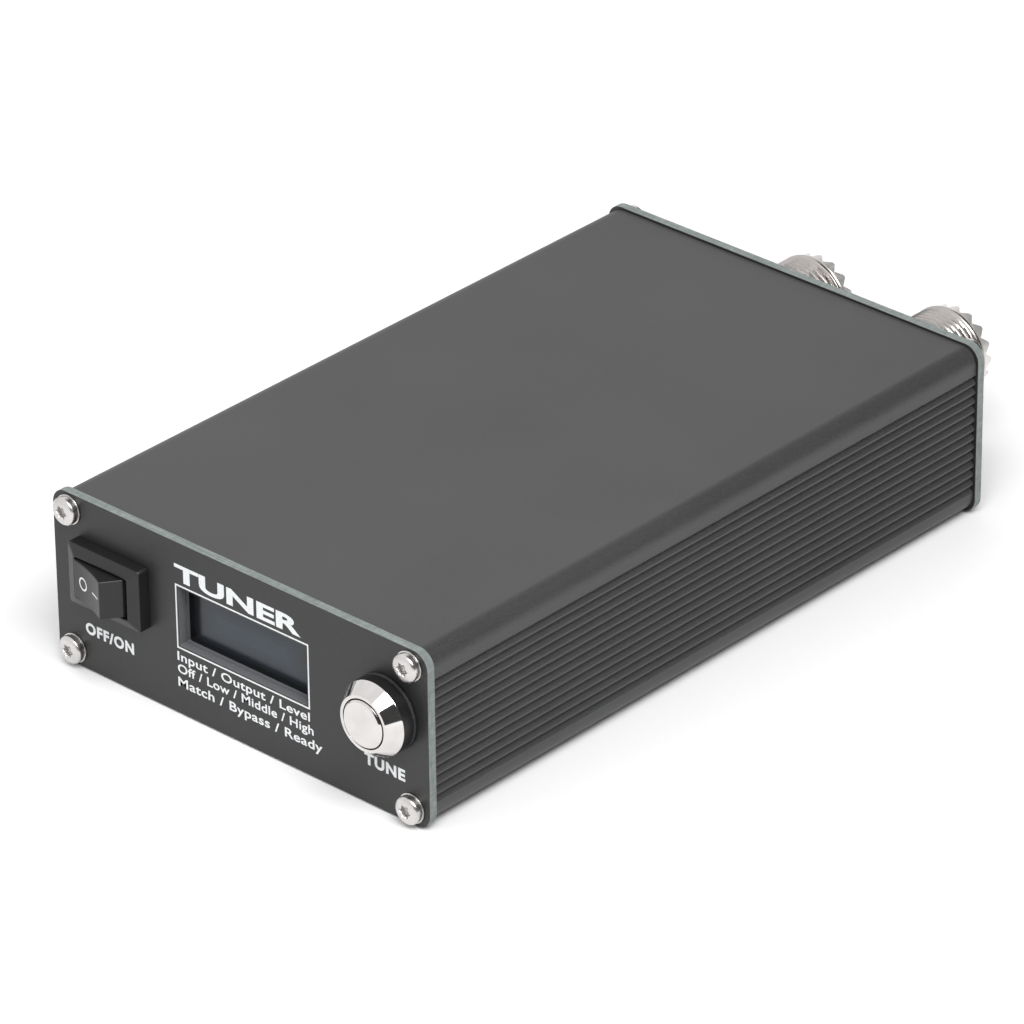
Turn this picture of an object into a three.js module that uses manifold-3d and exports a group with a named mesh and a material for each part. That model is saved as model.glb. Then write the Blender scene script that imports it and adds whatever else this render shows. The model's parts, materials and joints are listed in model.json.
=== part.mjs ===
// An automatic antenna tuner: an extruded aluminium sleeve closed by two printed-board end panels,
// with a rocker power switch, a small display and a tuning button in front, two UHF sockets and a
// supply jack behind, and a relay-switched inductor board sliding in the sleeve's slots.
//
// Millimetres. X runs across the front, Y from the front to the rear, Z up. Everything is first
// placed with the front panel's face at Y = 0 and its lower edge at Z = 0, and the whole group is
// then moved so that its origin is the centre of its base.
import * as THREE from 'three';
import { mergeVertices } from 'three/addons/utils/BufferGeometryUtils.js';
import Module from 'manifold-3d';

const wasm = await Module();
wasm.setup();

// ---- driving dimensions -------------------------------------------------------------------------

const CASE_LENGTH = 132.2;                       // over both end panels
const PANEL = { width: 80, height: 30.8, thickness: 1.6, corner: 2.8 };
const SEAT = 0.05;                               // gap between pieces that bear on each other
const MIDDLE_Z = PANEL.height / 2;
const SHELL_START = PANEL.thickness + SEAT;
const SHELL_END = CASE_LENGTH - PANEL.thickness - SEAT;

const SHELL = { inset: 0.4, corner: 3.0, side: 1.9, flat: 1.8 };
const FLUTE = { count: 13, pitch: 1.69, width: 1.2, depth: 0.7, top: 25.2 };
const BOARD = { bottom: 7.7, thickness: 1.6, start: 26, end: 127.4 };
const RAIL = { reach: 1.6, thickness: 1.2, clearance: 0.15 };

const SCREW = { x: 36.4, z: 12.5, shank: 1.2, length: 9, head: 2.38, wall: 0.75, dome: 0.75 };
const SCREW_HOLE = 1.3;
const RECESS = { radius: 1.1, waist: 0.8, depth: 0.9 };
const WASHER = { outer: 2.55, inner: 1.35, thickness: 0.3 };
const BOSS_RADIUS = 2.5;

const SWITCH = { x: -27, z: 18.35, width: 15.7, height: 10.9, wallTop: 2.1, rim: 2.9 };
const SWITCH_CAVITY = { halfWidth: 5.7, halfHeight: 3.6, floor: 6 };
const SWITCH_HOUSING = { halfWidth: 6.6, halfHeight: 4.3, back: 11 };
const SWITCH_TERMINAL = { halfWidth: 0.4, halfHeight: 1.4, tail: 17, spacing: 3.2 };
const ROCKER = { pivotY: -0.3, halfHeight: 3.35, throw: 36, pin: 0.8, pinHole: 0.9 };
const ROCKER_PROFILE = {
  tip: [4.3, -4.5],
  heel: [5.44, -0.97],
  belly: [5.4, 0.6],
  foot: [3.0, 2.4],
};
const ROCKER_DISH = 0.75;                        // control-point depth of the concave face
const PLUNGER = { radius: 0.7, start: 2.0, end: 3.4 };
const BLADE = { pivotY: 4.45, throw: 14, halfLength: 4, halfHeight: 1.5, thickness: 0.4 };

const BUTTON = { x: 31.4, z: 18.0, bezel: 6.36, rim: 3.0, front: 5.2, ring: 4.75, bore: 4.2 };
const BUTTON_BARREL = { radius: 5.0, bore: 4.55, shoulder: 2.2, seat: 7, web: 1, stemHole: 2.2, back: 12 };
const CAP = { radius: 4.0, chamfer: 0.3, front: 5.5, travel: 1.2, flange: 4.45, back: 0.8, stem: 1.2 };
const CAP_STEM_END = 8.2;
const SPRING = { radius: 3, wire: 0.25, turns: 5, endGap: 0.15 };
const BUTTON_BASE = { radius: 4.3, back: 15 };
const BUTTON_TERMINAL = { halfWidth: 1.2, halfThickness: 0.3, offset: 2, inset: 2.3, tail: 20 };
const BUTTON_NUT = { acrossFlats: 12, hole: 5.1, thickness: 2.5 };
const ORING = { outer: 6.45, thickness: 0.7 };

const WINDOW = { x: 0.95, z: 17.55, width: 27.4, height: 10.5 };
const DISPLAY = { spacer: 0.7, glass: 1.45, glassWidth: 30, glassHeight: 11.5 };
const SPACER = { width: 33, height: 14.5 };
const DISPLAY_BOARD = { width: 38, height: 12, thickness: 1.2, gap: 0.1 };
const HEADER = { x: -15.5, pins: 4, pitch: 2.54, body: 2.5, pin: 0.64, pinStart: 2, pinEnd: 8.5 };

const SOCKETS = [
  { role: 'input', x: -10.6, reach: 19.2 },
  { role: 'output', x: 18.4, reach: 20 },
];
const SOCKET = { thread: 7.94, rim: 7.3, rimLength: 2.4, bore: 6.1, flange: 9.5 };
const SOCKET_FLANGE = 2.4;
const SOCKET_NUT = { acrossFlats: 19, thickness: 3 };
const TEETH = { count: 16, depth: 1.35, mouth: 0.75, root: 0.1 };
const SOCKET_RECESS = 4.6;                       // from the tooth tips to the insulator's face
const INSULATOR = { bore: 2.55, step: 4.2, back: 5, stepBack: 7 };
const CONTACT = { radius: 2.5, bore: 2.0, depth: 12, sink: 0.3, tail: 1.6, tailStart: 7.3, tailEnd: 12 };
const JACK = { x: -29.0, thread: 3.95, flange: 5.6, reach: 2, depth: 10, bore: 2.85, floor: 7.5 };
const JACK_PIN = { radius: 1.0, reach: 1 };
const JACK_NUT = { acrossFlats: 11, thickness: 2 };

const RELAY = { count: 7, pitch: 10.8, length: 10, inner: 19.5, outer: 34, height: 11.5, start: 32 };
const RELAY_STRIP = 0.6;
const TOROID_Y = [50.5, 74, 97.5];
const TOROID = { outer: 9.5, inner: 5.2, height: 7.5, wire: 0.45, turns: 11, standOff: 1.5, lift: 6.1 };
const TRANSFORMER = { halfWidth: 14, start: 110, end: 118.5, foot: 1.6, ring: 6, hole: 2.6, x: 7.5 };
const REGULATOR = { halfWidth: 5, front: 33.6, back: 38.1, start: 3, top: 12 };
const REGULATOR_TAB = { front: 36.8, start: 11, top: 17.5, hole: 1.8, holeHeight: 14.5 };
const REGULATOR_LEG = { x: [-2.54, 0, 2.54], halfWidth: 0.4, front: 35, back: 35.5, top: 4 };
const MICROCONTROLLER = { x: [-17, -9.5], y: [27, 38], height: 2.4 };
const CAPACITOR = { radius: 4, x: 12, y: 32.5, height: 12 };

const FRONT_REACH = 5.91;                        // the raised end of the rocker
const ORIGIN_Y = (CASE_LENGTH + SOCKETS[1].reach - FRONT_REACH) / 2;

// ---- small geometry helpers ---------------------------------------------------------------------

const degrees = THREE.MathUtils.degToRad;

// A closed three.js geometry as a manifold solid, with its faces pointing out.
function solid(geometry) {
  const bare = geometry.clone();
  bare.deleteAttribute('normal');
  bare.deleteAttribute('uv');
  const merged = mergeVertices(bare, 1e-4);
  const index = merged.index.array;
  const triVerts = [];
  for (let i = 0; i < index.length; i += 3) {
    const [a, b, c] = [index[i], index[i + 1], index[i + 2]];
    if (a !== b && b !== c && c !== a) triVerts.push(a, b, c);
  }
  const vertProperties = new Float32Array(merged.attributes.position.array);
  const mesh = { numProp: 3, vertProperties, triVerts: new Uint32Array(triVerts) };
  const body = new wasm.Manifold(new wasm.Mesh(mesh));
  if (body.volume() > 0) return body;
  mesh.triVerts.reverse();
  return new wasm.Manifold(new wasm.Mesh(mesh));
}

function geometryOf(body) {
  const mesh = body.getMesh();
  const geometry = new THREE.BufferGeometry();
  const count = mesh.vertProperties.length / mesh.numProp;
  const position = new Float32Array(count * 3);
  for (let i = 0; i < count; i += 1) {
    for (let k = 0; k < 3; k += 1) position[3 * i + k] = mesh.vertProperties[mesh.numProp * i + k];
  }
  geometry.setAttribute('position', new THREE.BufferAttribute(position, 3));
  geometry.setIndex([...mesh.triVerts]);
  geometry.computeVertexNormals();
  return geometry;
}

// A box between two corners.
function slab([x0, x1], [y0, y1], [z0, z1]) {
  const box = new THREE.BoxGeometry(x1 - x0, y1 - y0, z1 - z0);
  return solid(box.translate((x0 + x1) / 2, (y0 + y1) / 2, (z0 + z1) / 2));
}

// A shape drawn in X and Z, extruded along Y.
function alongY(shape, y0, y1, curveSegments = 8) {
  const options = { depth: y1 - y0, bevelEnabled: false, curveSegments };
  const geometry = new THREE.ExtrudeGeometry(shape, options);
  return solid(geometry.rotateX(Math.PI / 2).translate(0, y1, 0));
}

// A shape drawn in X and Y, extruded along Z.
function alongZ(shape, z0, z1, curveSegments = 8) {
  const options = { depth: z1 - z0, bevelEnabled: false, curveSegments };
  return solid(new THREE.ExtrudeGeometry(shape, options).translate(0, 0, z0));
}

// A profile of [radius, y] points turned about the line along Y through (x, z).
function turned(profile, x, z, segments = 32) {
  const points = profile.map(([radius, y]) => new THREE.Vector2(radius, y));
  return solid(new THREE.LatheGeometry(points, segments).translate(x, 0, z));
}

function cylinderY(radius, y0, y1, x, z, segments = 32) {
  return turned([[0, y0], [radius, y0], [radius, y1], [0, y1]], x, z, segments);
}

// A ring of rectangular section.
function ringY(outer, inner, y0, y1, x, z, segments = 32) {
  return turned([[inner, y0], [outer, y0], [outer, y1], [inner, y1], [inner, y0]], x, z, segments);
}

function roundedRectangle(x0, x1, z0, z1, radius) {
  const shape = new THREE.Shape();
  shape.absarc(x1 - radius, z1 - radius, radius, 0, Math.PI / 2);
  shape.absarc(x0 + radius, z1 - radius, radius, Math.PI / 2, Math.PI);
  shape.absarc(x0 + radius, z0 + radius, radius, Math.PI, 1.5 * Math.PI);
  shape.absarc(x1 - radius, z0 + radius, radius, 1.5 * Math.PI, 2 * Math.PI);
  return shape;
}

function polygon(points) {
  return new THREE.Shape(points.map(([a, b]) => new THREE.Vector2(a, b)));
}

// A hexagonal nut with its axis along Y. A turn of 0 puts a flat on top, 30 a corner.
function hexNut(acrossFlats, hole, y0, y1, x, z, turn = 0) {
  const corner = acrossFlats / Math.sqrt(3);
  const points = [];
  for (let i = 0; i < 6; i += 1) {
    const angle = degrees(60 * i + turn);
    points.push([x + corner * Math.cos(angle), z + corner * Math.sin(angle)]);
  }
  return alongY(polygon(points), y0, y1).subtract(cylinderY(hole, y0 - 1, y1 + 1, x, z));
}

// ---- the assembly's group and materials ---------------------------------------------------------

const tuner = new THREE.Group();
tuner.position.y = -ORIGIN_Y;

const FINISHES = {
  anodised: { color: 0x3d3d3e, roughness: 0.55, metalness: 0.6 },
  panel: { color: 0x3a3b3c, roughness: 0.5, metalness: 0 },
  steel: { color: 0xc9c6c4, roughness: 0.25, metalness: 1 },
  chrome: { color: 0xdcdad8, roughness: 0.08, metalness: 1 },
  nickel: { color: 0xc4bdb6, roughness: 0.25, metalness: 1 },
  brass: { color: 0xb8964a, roughness: 0.3, metalness: 1 },
  copper: { color: 0xb4673a, roughness: 0.35, metalness: 1 },
  blackPlastic: { color: 0x1b1b1c, roughness: 0.4, metalness: 0 },
  rubber: { color: 0x121212, roughness: 0.8, metalness: 0 },
  glass: { color: 0x20262c, roughness: 0.05, metalness: 0 },
  whitePlastic: { color: 0xe9e6df, roughness: 0.5, metalness: 0 },
  laminate: { color: 0x1f4a34, roughness: 0.5, metalness: 0 },
  relay: { color: 0x23529a, roughness: 0.35, metalness: 0 },
  ferrite: { color: 0x9b2f25, roughness: 0.6, metalness: 0 },
};

function add(name, body, finish, parent = tuner) {
  const mesh = new THREE.Mesh(geometryOf(body), new THREE.MeshStandardMaterial(FINISHES[finish]));
  mesh.name = name;
  parent.add(mesh);
  return mesh;
}

// ---- case ---------------------------------------------------------------------------------------

const screwPlaces = [
  ['upper_left', -SCREW.x, MIDDLE_Z + SCREW.z],
  ['upper_right', SCREW.x, MIDDLE_Z + SCREW.z],
  ['lower_left', -SCREW.x, MIDDLE_Z - SCREW.z],
  ['lower_right', SCREW.x, MIDDLE_Z - SCREW.z],
];

// The sleeve's outline, with the flutes of both sides.
function sleeveOutline() {
  const x1 = PANEL.width / 2 - SHELL.inset;
  const z0 = SHELL.inset;
  const z1 = PANEL.height - SHELL.inset;
  const r = SHELL.corner;
  const half = FLUTE.width / 2;
  const flutes = [];
  for (let i = 0; i < FLUTE.count; i += 1) flutes.push(FLUTE.top - i * FLUTE.pitch);
  const shape = new THREE.Shape();
  shape.absarc(x1 - r, z0 + r, r, -Math.PI / 2, 0);
  for (const z of [...flutes].reverse()) {
    shape.lineTo(x1, z - half);
    shape.lineTo(x1 - FLUTE.depth, z);
    shape.lineTo(x1, z + half);
  }
  shape.absarc(x1 - r, z1 - r, r, 0, Math.PI / 2);
  shape.absarc(-x1 + r, z1 - r, r, Math.PI / 2, Math.PI);
  for (const z of flutes) {
    shape.lineTo(-x1, z + half);
    shape.lineTo(-x1 + FLUTE.depth, z);
    shape.lineTo(-x1, z - half);
  }
  shape.absarc(-x1 + r, z0 + r, r, Math.PI, 1.5 * Math.PI);
  return shape;
}

function caseShell() {
  const innerX = PANEL.width / 2 - SHELL.inset - SHELL.side;
  const innerBottom = SHELL.inset + SHELL.flat;
  const innerTop = PANEL.height - SHELL.inset - SHELL.flat;
  const railX = innerX - RAIL.reach;
  const slotBottom = BOARD.bottom - RAIL.clearance;
  const slotTop = BOARD.bottom + BOARD.thickness + RAIL.clearance;
  const long = [SHELL_START - 1, SHELL_END + 1];

  const rails = [
    [slotBottom - RAIL.thickness, slotBottom],
    [slotTop, slotTop + RAIL.thickness],
  ];

  let hollow = slab([-innerX, innerX], long, [innerBottom, innerTop]);
  for (const rail of rails) {
    hollow = hollow.subtract(slab([railX, innerX + 1], long, rail));
    hollow = hollow.subtract(slab([-innerX - 1, -railX], long, rail));
  }
  for (const [, x, z] of screwPlaces) {
    hollow = hollow.subtract(cylinderY(BOSS_RADIUS, ...long, x, z, 20));
  }

  let sleeve = alongY(sleeveOutline(), SHELL_START, SHELL_END, 5).subtract(hollow);
  for (const [, x, z] of screwPlaces) {
    sleeve = sleeve.subtract(cylinderY(SCREW_HOLE, ...long, x, z, 12));
  }
  return sleeve;
}

function blankPanel(y0) {
  const edge = PANEL.width / 2;
  const outline = roundedRectangle(-edge, edge, 0, PANEL.height, PANEL.corner);
  let panel = alongY(outline, y0, y0 + PANEL.thickness, 6);
  for (const [, x, z] of screwPlaces) {
    panel = panel.subtract(cylinderY(WASHER.inner, y0 - 1, y0 + PANEL.thickness + 1, x, z, 16));
  }
  return panel;
}

function frontPanel() {
  const through = [-1, PANEL.thickness + 1];
  const window = slab(
    [WINDOW.x - WINDOW.width / 2, WINDOW.x + WINDOW.width / 2],
    through,
    [WINDOW.z - WINDOW.height / 2, WINDOW.z + WINDOW.height / 2],
  );
  const clear = 0.15;
  const cutout = slab(
    [SWITCH.x - SWITCH_HOUSING.halfWidth - clear, SWITCH.x + SWITCH_HOUSING.halfWidth + clear],
    through,
    [SWITCH.z - SWITCH_HOUSING.halfHeight - clear, SWITCH.z + SWITCH_HOUSING.halfHeight + clear],
  );
  const buttonHole = cylinderY(BUTTON_BARREL.radius + clear, ...through, BUTTON.x, BUTTON.z);
  return blankPanel(0).subtract(window).subtract(cutout).subtract(buttonHole);
}

function rearPanel() {
  const start = CASE_LENGTH - PANEL.thickness;
  const through = [start - 1, CASE_LENGTH + 1];
  let panel = blankPanel(start);
  for (const { x } of SOCKETS) {
    panel = panel.subtract(cylinderY(SOCKET.thread + 0.1, ...through, x, MIDDLE_Z));
  }
  return panel.subtract(cylinderY(JACK.thread + 0.1, ...through, JACK.x, MIDDLE_Z));
}

add('case_shell', caseShell(), 'anodised');
add('front_panel', frontPanel(), 'panel');
add('rear_panel', rearPanel(), 'panel');

// ---- case screws --------------------------------------------------------------------------------

// A pan-head screw lying along Y, its head towards -Y and the seat of its washer at Y = 0.
function screwBody() {
  const seat = -WASHER.thickness - SEAT;
  const wallTop = seat - SCREW.wall;
  const top = wallTop - SCREW.dome;
  const profile = [
    [0, top],
    [SCREW.head * 0.45, top + SCREW.dome * 0.1],
    [SCREW.head * 0.8, top + SCREW.dome * 0.45],
    [SCREW.head, wallTop],
    [SCREW.head, seat],
    [SCREW.shank, seat],
    [SCREW.shank, SCREW.length],
    [0, SCREW.length],
  ];
  const lobes = [];
  for (let i = 0; i < 12; i += 1) {
    const reach = i % 2 ? RECESS.waist : RECESS.radius;
    lobes.push([reach * Math.cos(degrees(30 * i)), reach * Math.sin(degrees(30 * i))]);
  }
  const recess = alongY(polygon(lobes), top - 1, top + RECESS.depth);
  return turned(profile, 0, 0, 18).subtract(recess);
}

function addCaseScrews() {
  const screw = screwBody();
  const washer = ringY(WASHER.outer, WASHER.inner, -WASHER.thickness - SEAT / 2, -SEAT / 2, 0, 0, 18);
  for (const [end, faceY, turn] of [['front', 0, 0], ['rear', CASE_LENGTH, Math.PI]]) {
    for (const [place, x, z] of screwPlaces) {
      const seat = new THREE.Group();
      seat.position.set(x, faceY, z);
      seat.rotation.z = turn;
      tuner.add(seat);
      add(`${end}_screw_${place}`, screw, 'steel', seat);
      add(`${end}_washer_${place}`, washer, 'steel', seat);
    }
  }
}

addCaseScrews();

// ---- power switch -------------------------------------------------------------------------------

// The flat blades of the two terminals, one under the contact's pivot and one under its end.
const terminalPlaces = [SWITCH.x, SWITCH.x - SWITCH_TERMINAL.spacing];

function terminalBox(x, y0, y1, grow = 0) {
  const halfX = SWITCH_TERMINAL.halfWidth + grow;
  const halfZ = SWITCH_TERMINAL.halfHeight + grow;
  return slab([x - halfX, x + halfX], [y0, y1], [SWITCH.z - halfZ, SWITCH.z + halfZ]);
}

// The bezel's sides stand square off the panel and its face slopes up to the rim of the opening.
function switchHousing() {
  const rimX = SWITCH_CAVITY.halfWidth + 0.35;
  const rimZ = SWITCH_CAVITY.halfHeight + 0.35;
  const baseX = SWITCH.width / 2;
  const baseZ = SWITCH.height / 2;
  const foot = slab(
    [SWITCH.x - baseX, SWITCH.x + baseX],
    [-SWITCH.wallTop, -SEAT],
    [SWITCH.z - baseZ, SWITCH.z + baseZ],
  );
  const slope = solid(frustumY(baseX, baseZ, -SWITCH.wallTop, rimX, rimZ, -SWITCH.rim));
  const stem = slab(
    [SWITCH.x - SWITCH_HOUSING.halfWidth, SWITCH.x + SWITCH_HOUSING.halfWidth],
    [-0.5, SWITCH_HOUSING.back],
    [SWITCH.z - SWITCH_HOUSING.halfHeight, SWITCH.z + SWITCH_HOUSING.halfHeight],
  );
  const cavity = slab(
    [SWITCH.x - SWITCH_CAVITY.halfWidth, SWITCH.x + SWITCH_CAVITY.halfWidth],
    [-SWITCH.rim - 1, SWITCH_CAVITY.floor],
    [SWITCH.z - SWITCH_CAVITY.halfHeight, SWITCH.z + SWITCH_CAVITY.halfHeight],
  );
  const bearingReach = SWITCH_CAVITY.halfHeight + 0.55;
  const bearings = cylinderZ(ROCKER.pinHole, bearingReach, SWITCH.x, ROCKER.pivotY, SWITCH.z);
  let housing = foot.add(slope.translate(SWITCH.x, 0, SWITCH.z)).add(stem);
  housing = housing.subtract(cavity).subtract(bearings);
  for (const x of terminalPlaces) {
    housing = housing.subtract(terminalBox(x, SWITCH_CAVITY.floor - 1, SWITCH_HOUSING.back + 1, 0.05));
  }
  return housing;
}

// A rectangular frustum between two rectangles centred on the Y axis.
function frustumY(halfX0, halfZ0, y0, halfX1, halfZ1, y1) {
  const ring = new THREE.BoxGeometry(2, y0 - y1, 2);
  const position = ring.attributes.position;
  for (let i = 0; i < position.count; i += 1) {
    const base = position.getY(i) > 0;
    const x = position.getX(i) * (base ? halfX0 : halfX1);
    const z = position.getZ(i) * (base ? halfZ0 : halfZ1);
    position.setXYZ(i, x, base ? y0 : y1, z);
  }
  return ring;
}

// A cylinder along Z, reaching the same distance up and down from its middle.
function cylinderZ(radius, reach, x, y, z, segments = 20) {
  const pin = new THREE.CylinderGeometry(radius, radius, 2 * reach, segments);
  return solid(pin.rotateX(Math.PI / 2).translate(x, y, z));
}


// The rocker's outline about its pivot, as it stands half way through its throw.
function rockerOutline() {
  const { tip, heel, belly, foot } = ROCKER_PROFILE;
  const shape = new THREE.Shape();
  shape.moveTo(-tip[0], tip[1]);
  shape.lineTo(-heel[0], heel[1]);
  shape.lineTo(-belly[0], belly[1]);
  shape.lineTo(-foot[0], foot[1]);
  shape.lineTo(foot[0], foot[1]);
  shape.lineTo(belly[0], belly[1]);
  shape.lineTo(heel[0], heel[1]);
  shape.lineTo(tip[0], tip[1]);
  shape.quadraticCurveTo(0, tip[1] + ROCKER_DISH, -tip[0], tip[1]);
  return shape;
}

function rocker() {
  const paddle = alongZ(rockerOutline(), -ROCKER.halfHeight, ROCKER.halfHeight, 10);
  const pins = cylinderZ(ROCKER.pin, SWITCH_CAVITY.halfHeight + 0.4, 0, 0, 0);
  const plungerTip = solid(new THREE.SphereGeometry(PLUNGER.radius, 12, 8).translate(0, PLUNGER.end, 0));
  const plunger = cylinderY(PLUNGER.radius, PLUNGER.start, PLUNGER.end, 0, 0, 12);
  const whole = paddle.add(pins).add(plunger).add(plungerTip);
  const atRest = whole.rotate([0, 0, -ROCKER.throw / 2]);
  return atRest.translate([SWITCH.x, ROCKER.pivotY, SWITCH.z]);
}

function contactBlade() {
  const blade = slab(
    [-BLADE.halfLength, BLADE.halfLength],
    [-BLADE.thickness, 0],
    [-BLADE.halfHeight, BLADE.halfHeight],
  );
  return blade.rotate([0, 0, BLADE.throw / 2]).translate([SWITCH.x, BLADE.pivotY, SWITCH.z]);
}

add('power_switch_housing', switchHousing(), 'blackPlastic');
add('power_switch_rocker', rocker(), 'blackPlastic');
add('power_switch_contact', contactBlade(), 'copper');
const [pivotX, outputX] = terminalPlaces;
const terminalEnd = SWITCH_TERMINAL.tail;
add('power_switch_terminal_pivot', terminalBox(pivotX, BLADE.pivotY + 0.3, terminalEnd), 'brass');
add('power_switch_terminal_output', terminalBox(outputX, BLADE.pivotY + 0.85, terminalEnd), 'brass');

// ---- tuning button ------------------------------------------------------------------------------

function buttonBody() {
  const { bezel, rim, front, ring, bore } = BUTTON;
  const barrel = BUTTON_BARREL;
  const underside = -ORING.thickness - 2 * SEAT;
  const profile = [
    [bore, -front],
    [ring, -front],
    [bezel, -rim - 0.1],
    [bezel, -rim + 0.1],
    [bezel, underside],
    [barrel.radius, underside],
    [barrel.radius, barrel.back],
    [barrel.bore, barrel.back],
    [barrel.bore, barrel.seat + barrel.web],
    [barrel.stemHole, barrel.seat + barrel.web],
    [barrel.stemHole, barrel.seat],
    [barrel.bore, barrel.seat],
    [barrel.bore, -barrel.shoulder],
    [bore, -barrel.shoulder],
    [bore, -front],
  ];
  return turned(profile, BUTTON.x, BUTTON.z, 32);
}

function buttonCap() {
  const flangeFront = -BUTTON_BARREL.shoulder + SEAT;
  const profile = [
    [0, -CAP.front],
    [CAP.radius - CAP.chamfer, -CAP.front],
    [CAP.radius, -CAP.front + CAP.chamfer],
    [CAP.radius, flangeFront],
    [CAP.flange, flangeFront],
    [CAP.flange, CAP.back],
    [CAP.stem, CAP.back],
    [CAP.stem, CAP_STEM_END],
    [0, CAP_STEM_END],
  ];
  return turned(profile, BUTTON.x, BUTTON.z, 28);
}

function buttonORing() {
  const inner = BUTTON_BARREL.radius + 0.1;
  return ringY(ORING.outer, inner, -ORING.thickness - SEAT, -SEAT, BUTTON.x, BUTTON.z, 28);
}

class HelixY extends THREE.Curve {
  constructor(radius, turns, y0, y1, x, z) {
    super();
    Object.assign(this, { radius, turns, y0, y1, x, z });
  }

  getPoint(t, target = new THREE.Vector3()) {
    const angle = 2 * Math.PI * this.turns * t;
    const y = THREE.MathUtils.lerp(this.y0, this.y1, t);
    return target.set(this.x + this.radius * Math.cos(angle), y, this.z + this.radius * Math.sin(angle));
  }
}

function circle(radius, segments) {
  const points = [];
  for (let i = 0; i < segments; i += 1) {
    const angle = (2 * Math.PI * i) / segments;
    points.push([radius * Math.cos(angle), radius * Math.sin(angle)]);
  }
  return polygon(points);
}

function buttonSpring() {
  const { radius, wire, turns, endGap } = SPRING;
  const start = CAP.back + wire + endGap;
  const end = BUTTON_BARREL.seat - wire - endGap;
  const coil = new HelixY(radius, turns, start, end, BUTTON.x, BUTTON.z);
  const options = { extrudePath: coil, steps: turns * 10, bevelEnabled: false };
  return solid(new THREE.ExtrudeGeometry(circle(wire, 5), options));
}

// The plug in the barrel's end, clear of the stem when the cap is pressed home.
const baseStart = CAP_STEM_END + CAP.travel + 0.4;

function buttonTerminal(side, start, grow = 0) {
  const { halfWidth, halfThickness, offset, tail } = BUTTON_TERMINAL;
  const z = BUTTON.z + side * offset;
  return slab(
    [BUTTON.x - halfWidth - grow, BUTTON.x + halfWidth + grow],
    [start, tail],
    [z - halfThickness - grow, z + halfThickness + grow],
  );
}

function buttonBase() {
  let base = cylinderY(BUTTON_BASE.radius, baseStart, BUTTON_BASE.back, BUTTON.x, BUTTON.z, 24);
  for (const side of [-1, 1]) {
    base = base.subtract(buttonTerminal(side, baseStart + BUTTON_TERMINAL.inset - SEAT, SEAT));
  }
  return base;
}

function buttonNut() {
  const { acrossFlats, hole, thickness } = BUTTON_NUT;
  const start = PANEL.thickness + SEAT;
  return hexNut(acrossFlats, hole, start, start + thickness, BUTTON.x, BUTTON.z, 30);
}

const buttonTerminalStart = baseStart + BUTTON_TERMINAL.inset;
add('tune_button_body', buttonBody(), 'chrome');
add('tune_button_cap', buttonCap(), 'chrome');
add('tune_button_oring', buttonORing(), 'rubber');
add('tune_button_nut', buttonNut(), 'nickel');
add('tune_button_spring', buttonSpring(), 'steel');
add('tune_button_base', buttonBase(), 'blackPlastic');
add('tune_button_terminal_upper', buttonTerminal(1, buttonTerminalStart), 'brass');
add('tune_button_terminal_lower', buttonTerminal(-1, buttonTerminalStart), 'brass');

// ---- display ------------------------------------------------------------------------------------

const spacerStart = PANEL.thickness + SEAT;
const glassStart = spacerStart + DISPLAY.spacer + SEAT;
const glassEnd = glassStart + DISPLAY.glass;
const displayBoardStart = glassEnd + DISPLAY_BOARD.gap;
const displayBoardEnd = displayBoardStart + DISPLAY_BOARD.thickness;

// A slab centred on the window.
function aroundWindow(width, height, y0, y1) {
  return slab(
    [WINDOW.x - width / 2, WINDOW.x + width / 2],
    [y0, y1],
    [WINDOW.z - height / 2, WINDOW.z + height / 2],
  );
}

function displayBoard() {
  return aroundWindow(DISPLAY_BOARD.width, DISPLAY_BOARD.height, displayBoardStart, displayBoardEnd);
}

function displaySpacer() {
  const outer = aroundWindow(SPACER.width, SPACER.height, spacerStart, spacerStart + DISPLAY.spacer);
  return outer.subtract(aroundWindow(WINDOW.width, WINDOW.height, spacerStart - 1, glassStart + 1));
}

// A pin header soldered to the display's board, its pins pointing back to the main board.
function displayHeader() {
  const { pins, pitch, body, pin, pinStart, pinEnd } = HEADER;
  const x = WINDOW.x + HEADER.x;
  const start = displayBoardEnd + SEAT;
  const halfLength = (pins * pitch) / 2;
  let header = slab(
    [x - pitch / 2, x + pitch / 2],
    [start, start + body],
    [WINDOW.z - halfLength, WINDOW.z + halfLength],
  );
  for (let i = 0; i < pins; i += 1) {
    const z = WINDOW.z - halfLength + pitch * (i + 0.5);
    header = header.add(slab(
      [x - pin / 2, x + pin / 2],
      [start + pinStart, start + pinEnd],
      [z - pin / 2, z + pin / 2],
    ));
  }
  return header;
}

function displayGlass() {
  return aroundWindow(DISPLAY.glassWidth, DISPLAY.glassHeight, glassStart, glassEnd);
}

add('display_spacer', displaySpacer(), 'blackPlastic');
add('display_glass', displayGlass(), 'glass');
add('display_board', displayBoard(), 'laminate');
add('display_header', displayHeader(), 'blackPlastic');

// ---- UHF sockets --------------------------------------------------------------------------------

function socketBody(x, reach) {
  const { thread, rim, rimLength, bore, flange } = SOCKET;
  const tip = CASE_LENGTH + reach;
  const flangeFront = CASE_LENGTH - PANEL.thickness - SEAT;
  const flangeBack = flangeFront - SOCKET_FLANGE;
  const profile = [
    [bore, flangeBack],
    [flange, flangeBack],
    [flange, flangeFront],
    [thread, flangeFront],
    [thread, tip - rimLength - 0.5],
    [rim, tip - rimLength],
    [rim, tip],
    [bore, tip],
    [bore, flangeBack],
  ];
  let body = turned(profile, x, MIDDLE_Z, 40);
  for (let i = 0; i < TEETH.count; i += 1) {
    body = body.subtract(toothGap(x, tip, (360 * (i + 0.5)) / TEETH.count));
  }
  return body;
}

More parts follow.
